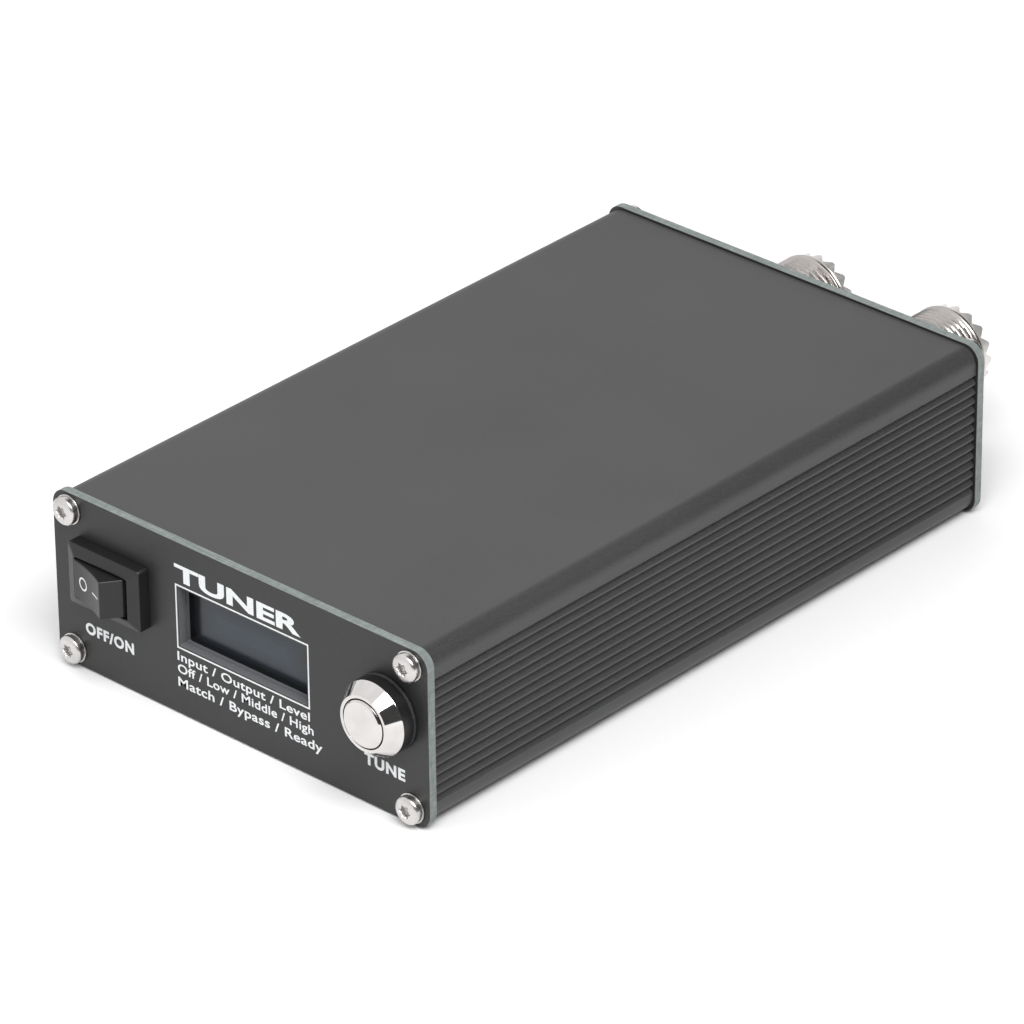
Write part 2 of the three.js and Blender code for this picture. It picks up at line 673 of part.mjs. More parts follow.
// A V-shaped gap between two teeth, pointing out from the socket's axis.
function toothGap(x, tip, angle) {
  const half = (Math.PI * SOCKET.rim) / TEETH.count;
  const mouth = half * TEETH.mouth;
  const root = half * TEETH.root;
  const outline = polygon([
    [-mouth, tip + 0.01],
    [-root, tip - TEETH.depth],
    [root, tip - TEETH.depth],
    [mouth, tip + 0.01],
  ]);
  const wedge = alongZ(outline, SOCKET.bore - 1, SOCKET.rim + 1);
  return wedge.rotate([0, angle, 0]).translate([x, 0, MIDDLE_Z]);
}

function socketInsulator(x, reach) {
  const front = CASE_LENGTH + reach - SOCKET_RECESS;
  const radius = SOCKET.bore - SEAT;
  const back = CASE_LENGTH - INSULATOR.back;
  const stepBack = CASE_LENGTH - INSULATOR.stepBack;
  const profile = [
    [INSULATOR.bore, stepBack],
    [INSULATOR.step, stepBack],
    [INSULATOR.step, back],
    [radius, back],
    [radius, front],
    [INSULATOR.bore, front],
    [INSULATOR.bore, stepBack],
  ];
  return turned(profile, x, MIDDLE_Z, 24);
}

function socketContact(x, reach) {
  const insulatorFront = CASE_LENGTH + reach - SOCKET_RECESS;
  const mouth = insulatorFront - CONTACT.sink;
  const floor = insulatorFront - CONTACT.depth;
  const tailStart = CASE_LENGTH - CONTACT.tailStart;
  const tailEnd = CASE_LENGTH - CONTACT.tailEnd;
  const profile = [
    [0, tailEnd],
    [CONTACT.tail, tailEnd],
    [CONTACT.tail, tailStart],
    [CONTACT.radius, tailStart],
    [CONTACT.radius, mouth],
    [CONTACT.bore, mouth],
    [CONTACT.bore, floor],
    [0, floor],
  ];
  return turned(profile, x, MIDDLE_Z, 20);
}

function socketNut(x) {
  const start = CASE_LENGTH + SEAT;
  const { acrossFlats, thickness } = SOCKET_NUT;
  return hexNut(acrossFlats, SOCKET.thread + 0.1, start, start + thickness, x, MIDDLE_Z);
}

SOCKETS.forEach(({ role, x, reach }) => {
  add(`${role}_socket_body`, socketBody(x, reach), 'nickel');
  add(`${role}_socket_insulator`, socketInsulator(x, reach), 'whitePlastic');
  add(`${role}_socket_contact`, socketContact(x, reach), 'brass');
  add(`${role}_socket_nut`, socketNut(x), 'nickel');
});

// ---- supply jack --------------------------------------------------------------------------------

const jackFloor = CASE_LENGTH - JACK.floor;

function jackBody() {
  const front = CASE_LENGTH + JACK.reach;
  const seat = CASE_LENGTH + SEAT;
  const back = CASE_LENGTH - JACK.depth;
  const profile = [
    [0, back],
    [JACK.thread, back],
    [JACK.thread, seat],
    [JACK.flange, seat],
    [JACK.flange, front],
    [JACK.bore, front],
    [JACK.bore, jackFloor],
    [0, jackFloor],
  ];
  return turned(profile, JACK.x, MIDDLE_Z, 24);
}

function jackPin() {
  const tip = CASE_LENGTH + JACK_PIN.reach;
  return cylinderY(JACK_PIN.radius, jackFloor + SEAT, tip, JACK.x, MIDDLE_Z, 16);
}

function jackNut() {
  const front = CASE_LENGTH - PANEL.thickness - SEAT;
  const { acrossFlats, thickness } = JACK_NUT;
  return hexNut(acrossFlats, JACK.thread + 0.1, front - thickness, front, JACK.x, MIDDLE_Z);
}

add('supply_jack_body', jackBody(), 'blackPlastic');
add('supply_jack_pin', jackPin(), 'nickel');
add('supply_jack_nut', jackNut(), 'nickel');

// ---- main board ---------------------------------------------------------------------------------

const boardTop = BOARD.bottom + BOARD.thickness;
const partSeat = boardTop + SEAT;
const boardHalf = PANEL.width / 2 - SHELL.inset - SHELL.side - 0.3;

// A row of relays, joined by the strip that they are soldered through.
function relayBank(side) {
  const { count, pitch, length, inner, outer, height, start } = RELAY;
  const xs = side > 0 ? [inner, outer] : [-outer, -inner];
  const end = start + (count - 1) * pitch + length;
  let bank = slab(xs, [start, end], [partSeat, partSeat + RELAY_STRIP]);
  for (let i = 0; i < count; i += 1) {
    const y = start + pitch * i;
    bank = bank.add(slab(xs, [y, y + length], [partSeat, partSeat + height]));
  }
  return bank;
}

// A wire wound round a ring core that lies flat. Each turn is a rounded square.
class WindingPath extends THREE.Curve {
  constructor(turns, middle, reach, height) {
    super();
    Object.assign(this, { turns, middle, reach, height });
  }

  getPoint(t, target = new THREE.Vector3()) {
    const around = 2 * Math.PI * t;
    const wind = around * this.turns;
    const squared = (value) => Math.sign(value) * Math.sqrt(Math.abs(value));
    const radius = this.middle + this.reach * squared(Math.cos(wind));
    const z = this.height * squared(Math.sin(wind));
    return target.set(radius * Math.cos(around), radius * Math.sin(around), z);
  }
}

function toroidCore(y) {
  const { outer, inner, height } = TOROID;
  const section = [[inner, -height / 2], [outer, -height / 2], [outer, height / 2], [inner, height / 2]];
  const points = [...section, section[0]].map(([r, h]) => new THREE.Vector2(r, h));
  const ring = new THREE.LatheGeometry(points, 28).rotateX(Math.PI / 2);
  return solid(ring.translate(0, y, partSeat + TOROID.lift));
}

function toroidWinding(y) {
  const { outer, inner, height, standOff, turns, wire, lift } = TOROID;
  const reach = (outer - inner) / 2 + standOff;
  const path = new WindingPath(turns, (outer + inner) / 2, reach, height / 2 + standOff);
  const options = { extrudePath: path, steps: turns * 8, bevelEnabled: false };
  const wound = new THREE.ExtrudeGeometry(circle(wire, 4), options);
  return solid(wound.translate(0, y, partSeat + lift));
}

// Two ring cores standing side by side on a foot.
function matchTransformer() {
  const { halfWidth, start, end, foot, ring, hole, x } = TRANSFORMER;
  const middleZ = partSeat + foot + ring - 0.4;
  let block = slab([-halfWidth, halfWidth], [start, end], [partSeat, partSeat + foot]);
  for (const side of [-1, 1]) {
    block = block.add(ringY(ring, hole, start + 0.5, end - 0.5, side * x, middleZ, 20));
  }
  return block;
}

// A three-legged regulator standing on its legs, with its cooling tab upwards.
function voltageRegulator() {
  const { halfWidth, front, back, start, top } = REGULATOR;
  const width = [-halfWidth, halfWidth];
  const body = slab(width, [front, back], [partSeat + start, partSeat + top]);
  const tab = slab(
    width,
    [REGULATOR_TAB.front, back],
    [partSeat + REGULATOR_TAB.start, partSeat + REGULATOR_TAB.top],
  );
  let regulator = body.add(tab);
  const leg = REGULATOR_LEG;
  for (const x of leg.x) {
    const legWidth = [x - leg.halfWidth, x + leg.halfWidth];
    regulator = regulator.add(slab(legWidth, [leg.front, leg.back], [partSeat, partSeat + leg.top]));
  }
  const holeZ = partSeat + REGULATOR_TAB.holeHeight;
  const tabHole = cylinderY(REGULATOR_TAB.hole, front, back + 1, 0, holeZ, 16);
  return regulator.subtract(tabHole);
}

function cylinderUp(radius, x, y, z0, z1, segments = 24) {
  const can = new THREE.CylinderGeometry(radius, radius, z1 - z0, segments);
  return solid(can.rotateX(Math.PI / 2).translate(x, y, (z0 + z1) / 2));
}

function mainBoard() {
  return slab([-boardHalf, boardHalf], [BOARD.start, BOARD.end], [BOARD.bottom, boardTop]);
}

function microcontroller() {
  const { x, y, height } = MICROCONTROLLER;
  return slab(x, y, [partSeat, partSeat + height]);
}

function bulkCapacitor() {
  const { radius, x, y, height } = CAPACITOR;
  return cylinderUp(radius, x, y, partSeat, partSeat + height);
}

add('main_board', mainBoard(), 'laminate');
add('relay_bank_left', relayBank(-1), 'relay');
add('relay_bank_right', relayBank(1), 'relay');
TOROID_Y.forEach((y, i) => {
  add(`inductor_core_${i + 1}`, toroidCore(y), 'ferrite');
  add(`inductor_winding_${i + 1}`, toroidWinding(y), 'copper');
});
add('match_transformer', matchTransformer(), 'ferrite');
add('voltage_regulator', voltageRegulator(), 'blackPlastic');
add('microcontroller', microcontroller(), 'blackPlastic');
add('bulk_capacitor', bulkCapacitor(), 'blackPlastic');

export default tuner;
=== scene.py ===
import json
import math

import bmesh
import bpy
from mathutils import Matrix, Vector


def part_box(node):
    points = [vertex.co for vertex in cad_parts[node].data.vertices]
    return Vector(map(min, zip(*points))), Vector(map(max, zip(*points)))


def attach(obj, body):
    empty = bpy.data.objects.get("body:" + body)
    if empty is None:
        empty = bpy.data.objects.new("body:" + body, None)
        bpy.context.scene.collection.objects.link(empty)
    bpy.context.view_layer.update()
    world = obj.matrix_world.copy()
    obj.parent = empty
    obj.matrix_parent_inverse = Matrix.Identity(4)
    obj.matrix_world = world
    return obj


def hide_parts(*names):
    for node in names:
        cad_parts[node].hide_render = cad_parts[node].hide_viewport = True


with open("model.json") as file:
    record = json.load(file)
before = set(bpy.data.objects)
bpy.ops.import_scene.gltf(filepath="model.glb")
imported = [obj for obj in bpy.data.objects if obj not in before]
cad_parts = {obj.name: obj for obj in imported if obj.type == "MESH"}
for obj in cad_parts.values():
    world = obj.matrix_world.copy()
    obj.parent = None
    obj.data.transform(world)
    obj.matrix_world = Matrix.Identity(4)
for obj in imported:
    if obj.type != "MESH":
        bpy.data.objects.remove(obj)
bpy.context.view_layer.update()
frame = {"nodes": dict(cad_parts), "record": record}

MM = 0.001
FACE_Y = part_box("front_panel")[0].y
TAU = 2 * math.pi


def span(node):
    """The lowest and highest corner of a CAD node in the drawing's millimetres."""
    low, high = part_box(node)
    shift = Vector((0, FACE_Y, 0))
    return (low - shift) / MM, (high - shift) / MM


def middle(node):
    """The centre of a CAD node, in X and Z."""
    low, high = span(node)
    return (low.x + high.x) / 2, (low.z + high.z) / 2


# ---- sizes, in millimetres ------------------------------------------------------------------

PANEL_CORNER = 2.8
PANEL_THICKNESS = 1.6
PRINT = 0.02

SHELL_CORNER = 3.0
SHELL_SIDE = 1.9
SHELL_FLAT = 1.8
FLUTE = {"count": 13, "pitch": 1.69, "width": 1.36, "depth": 0.68, "top": 25.2}
FLUTE_ROUND = 0.12
RAIL = {"reach": 1.6, "thickness": 1.2, "low": 7.55, "high": 9.45}
PANEL_EDGE_ROUND = 0.08

SCREW_HEAD = {"radius": 2.38, "seat": -0.35, "wall": 0.75, "dome": 0.75, "shank": 1.2, "end": 9.0}
RECESS = {"radius": 0.99, "lobe": 0.16, "depth": 0.95}
WASHER = {"outer": 2.55, "inner": 1.35, "front": -0.325, "back": -0.025}

BEZEL = {"half_x": 7.85, "half_z": 5.45, "wall": 2.1, "rim": 2.9}
CAVITY = {"half_x": 5.7, "half_z": 3.6, "floor": 6.0}
SWITCH_BODY = {"half_x": 6.6, "half_z": 4.3, "back": 11.0}
SWITCH_CUTOUT_GAP = 0.15
ROCKER = {"pivot_y": -0.3, "half_z": 3.35, "rest": -18.0, "dish": 0.375}
ROCKER_PROFILE = [(4.3, -4.5), (5.44, -0.97), (5.4, 0.6), (3.0, 2.4)]
ROCKER_ROUND = {"ends": 0.22, "sides": 0.2}
MARK_OFF = {"a": -1.8, "inner": 0.86, "outer": 1.15}
MARK_ON = {"start": 1.25, "length": 2.2, "half_width": 0.13}

WINDOW = {"x0": -12.75, "x1": 14.65, "z0": 12.3, "z1": 22.8}
WINDOW_CORNER = 0.35
SURROUND_CORNER = 0.4
PRINTED_FRAME = {"x0": -13.36, "x1": 15.18, "z0": 11.8, "z1": 23.3, "line": 0.27}

# Words on the front panel, with their x0, x1, z0 and z1, extra weight and letter spacing.
LABELS = {
    "print_title": ("TUNER", -13.4, 13.6, 23.9, 26.9, 0.35, 1.0),
    "print_row_1": ("Input / Output / Level", -13.4, 15.1, 9.1, 11.2, 0.16, 1.05),
    "print_row_2": ("Off / Low / Middle / High", -13.4, 15.8, 6.9, 9.0, 0.16, 1.05),
    "print_row_3": ("Match / Bypass / Ready", -13.4, 17.6, 4.4, 6.6, 0.16, 1.05),
    "print_switch_label": ("OFF/ON", -33.8, -23.1, 6.55, 8.65, 0.42, 1.15),
    "print_button_label": ("TUNE", 26.5, 35.0, 6.85, 8.95, 0.42, 1.12),
}

# Sections of the turned parts of the button, as pairs of radius and y.
BUTTON_BEZEL = [
    (4.2, -5.2), (4.75, -5.2), (6.3, -3.05), (6.36, -2.95), (6.36, -0.8),
    (5.0, -0.8), (5.0, 12.0), (4.55, 12.0), (4.55, -2.2), (4.2, -2.2),
]
BUTTON_CAP = [
    (0, -5.5), (3.72, -5.5), (4.0, -5.22), (4.0, -2.1), (4.45, -2.1),
    (4.45, 0.8), (1.2, 0.8), (1.2, 8.2), (0, 8.2),
]
BUTTON_SEAL = [(5.1, -0.05), (6.45, -0.05), (6.45, -0.75), (5.1, -0.75)]
# From this depth back the button's bezel is drawn in black plastic: a painted dark reflection of
# the black panel in its chrome wall.
PAINTED_DARK_REFLECTION_FROM = -2.6
BUTTON_HOLE = 5.15
JACK_HOLE = 4.05
SOCKET_GAP = 0.1

THREAD = {"major": 7.94, "pitch": 1.058, "depth": 0.6, "samples": 10}
SOCKET = {"rim": 7.3, "rim_length": 2.1, "bore": 6.1, "flange": 9.5, "flange_back": 4.05}
TEETH = {"count": 16, "depth": 1.35, "gap": 0.42, "columns": 12}
SOCKET_NUT = {"flats": 19.0, "hole": 8.04}


# ---- outlines and meshes --------------------------------------------------------------------


def fillet(points, radius, steps=4, closed=True):
    """The outline with each corner rounded, by less where its edges are short."""
    rounded = []
    count = len(points)
    for i, corner in enumerate(points):
        if not closed and i in (0, count - 1):
            rounded.append(tuple(corner))
            continue
        here = Vector(corner)
        before = Vector(points[i - 1]) - here
        after = Vector(points[(i + 1) % count]) - here
        shorter = min(before.length, after.length)
        opening = before.angle(after) if shorter > 1e-6 else math.pi
        if opening > math.radians(176) or opening < math.radians(2):
            rounded.append(tuple(corner))
            continue
        before.normalize()
        after.normalize()
        cut = min(radius / math.tan(opening / 2), 0.45 * shorter)
        arc_radius = cut * math.tan(opening / 2)
        bisector = (before + after).normalized()
        centre = here + bisector * (arc_radius / math.sin(opening / 2))
        start = here + before * cut - centre
        sweep = start.angle_signed(here + after * cut - centre)
        for step in range(steps + 1):
            turn = -sweep * step / steps
            x = start.x * math.cos(turn) - start.y * math.sin(turn)
            y = start.x * math.sin(turn) + start.y * math.cos(turn)
            rounded.append((centre.x + x, centre.y + y))
    return rounded


def rectangle(x0, x1, z0, z1, radius=0.0, steps=6):
    corners = [(x0, z0), (x1, z0), (x1, z1), (x0, z1)]
    return fillet(corners, radius, steps) if radius else corners


def circle(x, z, radius, columns=48):
    angles = [TAU * k / columns for k in range(columns)]
    return [(x + radius * math.cos(a), z + radius * math.sin(a)) for a in angles]


def piece(name, mesh, material, body="case", stands_for=(), crease=32):
    """A finished mesh as a piece that rides on a body and stands for the CAD nodes named."""
    bm = bmesh.new()
    bm.from_mesh(mesh)
    bmesh.ops.remove_doubles(bm, verts=bm.verts, dist=1e-7)
    bmesh.ops.recalc_face_normals(bm, faces=bm.faces)
    bm.to_mesh(mesh)
    bm.free()
    for finish in material if isinstance(material, (list, tuple)) else [material]:
        mesh.materials.append(finish)
    mesh.shade_smooth()
    mesh.set_sharp_from_angle(angle=math.radians(crease))
    made = bpy.data.objects.new(name, mesh)
    bpy.context.scene.collection.objects.link(made)
    made.modifiers.new("even_shading", "WEIGHTED_NORMAL").keep_sharp = True
    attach(made, body)
    if stands_for:
        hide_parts(*stands_for)
    return made


def in_frame(point):
    x, y, z = point
    return (x * MM, FACE_Y + y * MM, z * MM)


def loft(name, loops):
    """A mesh through loops with equally many points. A loop of one point closes the end to it."""
    columns = max(len(loop) for loop in loops)
    points = []
    for loop in loops:
        points.extend(loop if len(loop) == columns else loop * columns)
    faces = []
    for row in range(len(loops) - 1):
        for k in range(columns):
            after = (k + 1) % columns
            a, b = row * columns + k, row * columns + after
            faces.append((a, b, b + columns, a + columns))
    mesh = bpy.data.meshes.new(name)
    mesh.from_pydata([in_frame(p) for p in points], [], faces)
    return mesh


def turned(name, rings, x, z, columns=96):
    """A mesh of rings round the line along Y through (x, z).

    A ring is a pair of radius and y, or a function that gives the pair at an angle."""
    loops = []
    for ring in rings:
        loop = []
        for k in range(columns):
            angle = TAU * k / columns
            radius, y = ring(angle) if callable(ring) else ring
            loop.append((x + radius * math.cos(angle), y, z + radius * math.sin(angle)))
        loops.append(loop)
    return loft(name, loops)


def plate(name, outline, holes, y0, y1, bevel=0.0, upright=True):
    """A flat plate with holes. Upright it is drawn in X and Z and is thick along Y,
    otherwise it is drawn in X and Y and is thick along Z, from y0 to y1."""
    curve = bpy.data.curves.new(name, "CURVE")
    curve.dimensions = "2D"
    curve.fill_mode = "BOTH"
    curve.extrude = (y1 - y0) / 2 - bevel
    curve.bevel_depth = bevel
    curve.bevel_resolution = 2
    curve.offset = -bevel
    for loop in [outline, *holes]:
        spline = curve.splines.new("POLY")
        spline.points.add(len(loop) - 1)
        for point, (a, b) in zip(spline.points, loop):
            point.co = (a, b, 0, 1)
        spline.use_cyclic_u = True
    mesh = mesh_of(curve)
    centre = (y0 + y1) / 2
    for vertex in mesh.vertices:
        a, b, thick = vertex.co
        point = (a, centre - thick, b) if upright else (a, b, centre + thick)
        vertex.co = in_frame(point)
    return mesh


def mesh_of(curve):
    """The mesh of a curve or text, which is then removed."""
    holder = bpy.data.objects.new(curve.name, curve)
    bpy.context.scene.collection.objects.link(holder)
    depsgraph = bpy.context.evaluated_depsgraph_get()
    mesh = bpy.data.meshes.new_from_object(holder.evaluated_get(depsgraph))
    bpy.data.objects.remove(holder)
    return mesh


# ---- materials ------------------------------------------------------------------------------


class Finish:
    """A Principled material, with helpers for textures laid out on the piece in millimetres."""

    def __init__(self, name, color, roughness, metallic=0.0, **sockets):
        self.material = bpy.data.materials.new(name)
        self.material.use_nodes = True
        self.nodes = self.material.node_tree.nodes
        self.links = self.material.node_tree.links
        self.shader = self.nodes["Principled BSDF"]
        self.shader.inputs["Base Color"].default_value = (*color, 1)
        self.shader.inputs["Roughness"].default_value = roughness
        self.shader.inputs["Metallic"].default_value = metallic
        for socket, value in sockets.items():
            self.shader.inputs[socket.replace("_", " ")].default_value = value
        self.place = self.nodes.new("ShaderNodeTexCoord").outputs["Object"]

    def put(self, kind, **values):
        """A node of that kind. Values that are sockets are linked, and others are set."""
        node = self.nodes.new(kind)
        for key, value in values.items():
            if key in node.inputs:
                self.feed(node.inputs[key], value)
            else:
                setattr(node, key, value)
        return node

    def feed(self, socket, value):
        if isinstance(value, bpy.types.NodeSocket):
            self.links.new(value, socket)
        else:
            socket.default_value = value

    def stretched(self, x=1.0, y=1.0, z=1.0):
        """Places on the piece, in millimetres, multiplied along each axis."""
        scale = (x / MM, y / MM, z / MM)
        return self.put("ShaderNodeMapping", Vector=self.place, Scale=scale).outputs["Vector"]

    def noise(self, size, detail=3.0, stretch=(1.0, 1.0, 1.0)):
        """Noise whose blobs are about that many millimetres across."""
        scale = [s / size for s in stretch]
        vector = self.stretched(*scale)
        noise = self.put("ShaderNodeTexNoise", Vector=vector, Scale=1.0, Detail=detail)
        return noise.outputs["Fac"]

    def between(self, value, low, high, start=0.3, end=0.7):
        """Value mapped from start..end to low..high."""
        keys = {"From Min": start, "From Max": end, "To Min": low, "To Max": high}
        return self.put("ShaderNodeMapRange", Value=value, **keys).outputs["Result"]

    def blend(self, factor, color_a, color_b):
        node = self.nodes.new("ShaderNodeMix")
        node.data_type = "RGBA"
        self.feed(node.inputs["Factor"], factor)
        for index, color in ((6, color_a), (7, color_b)):
            value = color if isinstance(color, bpy.types.NodeSocket) else (*color, 1)
            self.feed(node.inputs[index], value)
        return node.outputs[2]

    def math(self, operation, first, second=0.0):
        node = self.nodes.new("ShaderNodeMath")
        node.operation = operation
        self.feed(node.inputs[0], first)
        self.feed(node.inputs[1], second)
        return node.outputs[0]

    def color(self, socket):
        self.links.new(socket, self.shader.inputs["Base Color"])
        return self

    def roughness(self, socket):
        self.links.new(socket, self.shader.inputs["Roughness"])
        return self

    def bump(self, height, depth, strength=1.0):
        """Relief that many millimetres deep."""
        keys = {"Height": height, "Distance": depth * MM, "Strength": strength}
        before = self.shader.inputs["Normal"].links
        if before:
            keys["Normal"] = before[0].from_socket
        node = self.put("ShaderNodeBump", **keys)
        self.links.new(node.outputs["Normal"], self.shader.inputs["Normal"])
        return self


def anodised_aluminium():
    """Bead-blasted and dyed black: a fine even grain with faint clouds in the dye."""
    finish = Finish("anodised_aluminium", (0.03, 0.03, 0.031), 0.48, Specular_IOR_Level=0.62)
    clouds = finish.noise(24, 4)
    grain = finish.noise(0.22, 2)
    dye = finish.blend(finish.between(clouds, 0, 1), (0.028, 0.028, 0.029), (0.036, 0.036, 0.037))
    sparkle = finish.blend(finish.between(grain, 0, 1, 0.45, 0.75), dye, (0.055, 0.055, 0.056))
    finish.color(sparkle)
    finish.roughness(finish.between(grain, 0.44, 0.54))
    return finish.bump(grain, 0.012, 0.6).material


def solder_mask():
    """The panels' satin black lacquer, with a slight orange peel over the glass weave."""
    finish = Finish("panel_solder_mask", (0.018, 0.018, 0.018), 0.42, Specular_IOR_Level=0.42)
    peel = finish.noise(0.5, 2)
    clouds = finish.noise(14, 3)
    finish.color(finish.blend(clouds, (0.016, 0.0163, 0.016), (0.021, 0.0213, 0.021)))
    finish.roughness(finish.between(peel, 0.38, 0.46))
    return finish.bump(peel, 0.01, 0.5).material


def laminate_edge():
    """The routed edge of glass-epoxy board: pale grey-green, in thin plies with frayed glass."""
    finish = Finish("laminate_edge", (0.26, 0.29, 0.28), 0.55)
    plies = finish.noise(0.18, 3, (0.05, 1.0, 0.05))
    fray = finish.noise(0.7, 4, (1.0, 0.4, 1.0))
    tint = finish.blend(finish.between(plies, 0, 1), (0.15, 0.175, 0.17), (0.26, 0.29, 0.28))
    finish.color(finish.blend(finish.between(fray, 0, 0.4), tint, (0.08, 0.1, 0.095)))
    finish.roughness(finish.between(fray, 0.45, 0.65))
    return finish.bump(plies, 0.03, 0.5).material


def white_print():
    """Screen-printed ink: slightly uneven in density."""
    finish = Finish("white_print", (0.76, 0.78, 0.79), 0.5)
    density = finish.noise(0.3, 3)
    finish.color(finish.blend(finish.between(density, 0, 1), (0.64, 0.66, 0.67), (0.8, 0.82, 0.83)))
    return finish.roughness(finish.between(density, 0.42, 0.6)).material


def moulded_plastic(
    name="black_plastic", color=(0.006, 0.006, 0.006), roughness=0.4, grain_size=0.18
):
    """Moulded plastic with a fine spark-eroded grain."""
    finish = Finish(name, color, roughness)
    grain = finish.noise(grain_size, 2)
    lighter = tuple(1.7 * c + 0.002 for c in color)
    finish.color(finish.blend(finish.between(grain, 0, 0.5), color, lighter))
    finish.roughness(finish.between(grain, roughness - 0.05, roughness + 0.07))
    return finish.bump(grain, 0.008, 0.5).material


def machined_metal(name, color, roughness, lines=0.12, stretch=(0.15, 1.0, 0.15)):
    """Plated or bare metal with fine tool marks that run round the Y axis."""
    finish = Finish(name, color, roughness, 1.0)
    marks = finish.noise(lines, 2, stretch)
    smudge = finish.noise(3, 3)
    darker = tuple(0.86 * c for c in color)
    finish.color(finish.blend(finish.between(smudge, 0, 1), darker, color))
    finish.roughness(finish.between(marks, roughness * 0.75, roughness * 1.3))
    return finish.bump(marks, 0.003, 0.4).material


def chrome():
    """Bright plating with faint wipe marks."""
    finish = Finish("bright_chrome", (0.66, 0.64, 0.63), 0.06, 1.0)
    smudge = finish.noise(2.2, 4)
    finish.color(finish.blend(finish.between(smudge, 0, 1), (0.63, 0.61, 0.6), (0.7, 0.68, 0.67)))
    finish.roughness(finish.between(smudge, 0.03, 0.1))
    return finish.bump(smudge, 0.002, 0.2).material


def rubber():
    finish = Finish("rubber", (0.012, 0.012, 0.012), 0.7)
    dust = finish.noise(0.4, 4)
    share = finish.between(dust, 0, 1, 0.5, 0.8)
    finish.color(finish.blend(share, (0.01, 0.01, 0.01), (0.04, 0.04, 0.04)))
    finish.roughness(finish.between(dust, 0.6, 0.8))
    return finish.bump(dust, 0.02, 0.4).material


def display_glass():
    """Dark glass over a display that is off: a little bluer in its middle, with painted shade that
    darkens it to near black round its border, where the window's walls hide its reflections.
    """
    finish = Finish("display_glass", (0.012, 0.018, 0.026), 0.06)
    split = finish.put("ShaderNodeSeparateXYZ", Vector=finish.place)
    centre_x, centre_z = middle("display_glass")
    across = finish.math("ABSOLUTE", finish.math("SUBTRACT", split.outputs["X"], centre_x * MM))
    up = finish.math("ABSOLUTE", finish.math("SUBTRACT", split.outputs["Z"], centre_z * MM))
    # painted shade: near black towards the window's sides and towards its top and bottom
    painted_shade_x = finish.between(across, 0, 1, 7 * MM, 13 * MM)
    painted_shade_z = finish.between(up, 0, 1, 1 * MM, 5 * MM)
    border = finish.math("MAXIMUM", painted_shade_x, painted_shade_z)
    haze = finish.noise(6, 3)
    panel = finish.blend(haze, (0.012, 0.022, 0.034), (0.016, 0.028, 0.042))
    # painted shade blends the bluish middle to near black round the border
    finish.color(finish.blend(border, panel, (0.001, 0.001, 0.0015)))
    return finish.roughness(finish.between(haze, 0.16, 0.22)).material


def circuit_board():
    """Green solder mask with copper tracks showing through."""
    finish = Finish("circuit_board", (0.02, 0.09, 0.04), 0.35)
    tracks = finish.put("ShaderNodeTexBrick", Vector=finish.stretched(), Scale=0.35)
    tracks.inputs["Color1"].default_value = (0.02, 0.1, 0.045, 1)
    tracks.inputs["Color2"].default_value = (0.03, 0.13, 0.055, 1)
    tracks.inputs["Mortar"].default_value = (0.012, 0.06, 0.03, 1)
    weave = finish.noise(0.6, 2)
    finish.color(tracks.outputs["Color"])
    finish.roughness(finish.between(weave, 0.28, 0.42))
    return finish.bump(weave, 0.01, 0.5).material


def ferrite():
    """Painted powdered iron: slightly rough, with worn specks."""
    finish = Finish("painted_iron_powder", (0.33, 0.03, 0.02), 0.6)
    specks = finish.noise(0.35, 3)
    share = finish.between(specks, 0, 1, 0.55, 0.75)
    finish.color(finish.blend(share, (0.3, 0.03, 0.02), (0.12, 0.05, 0.04)))
    finish.roughness(finish.between(specks, 0.5, 0.7))
    return finish.bump(specks, 0.03, 0.6).material


def pale_floor():
    finish = Finish("pale_floor", (0.86, 0.86, 0.86), 0.9)
    paper = finish.noise(1.5, 3)
    finish.color(finish.blend(paper, (0.85, 0.85, 0.85), (0.87, 0.87, 0.87)))
    return finish.material


MASK = solder_mask()
EDGE = laminate_edge()
INK = white_print()
PLASTIC = moulded_plastic()
WINDOW_EDGE = moulded_plastic("window_edge", (0.11, 0.113, 0.12), 0.6, 0.3)
STEEL = machined_metal("screw_steel", (0.66, 0.64, 0.63), 0.27)
NICKEL = machined_metal("nickel_plate", (0.52, 0.49, 0.47), 0.24)
NICKEL_RIM = machined_metal("nickel_rim", (0.86, 0.84, 0.82), 0.5)
CHROME = chrome()
BRASS = machined_metal("brass", (0.55, 0.38, 0.13), 0.25)

SLOT_FINISHES = {
    "anodised_aluminium": anodised_aluminium(),
    "panel_laminate": MASK,
    "screw_steel": STEEL,
    "switch_plastic": PLASTIC,
    "chrome": CHROME,
    "nickel": NICKEL,
    "rubber": rubber(),
    "display_glass": display_glass(),
    "white_plastic": moulded_plastic("white_plastic", (0.7, 0.68, 0.62), 0.4, 0.3),
    "brass": BRASS,
    "copper": machined_metal("copper", (0.5, 0.2, 0.08), 0.3, 0.2, (1.0, 1.0, 1.0)),
    "circuit_laminate": circuit_board(),
    "relay_plastic": moulded_plastic("relay_plastic", (0.02, 0.09, 0.33), 0.3, 0.3),
    "ferrite": ferrite(),
}


def finish_cad_nodes():
    """Every CAD node that stays takes the procedural finish of its slot."""
    for part in frame["record"]["subparts"]:
        node = frame["nodes"][part["node"]]
        node.material_slots[0].material = SLOT_FINISHES[part["material_slot"]]


# ---- case -----------------------------------------------------------------------------------


def screw_places():
    """The X and Z of the four screws of each end panel."""
    corners = ("upper_left", "upper_right", "lower_left", "lower_right")
    return {corner: middle(f"front_washer_{corner}") for corner in corners}


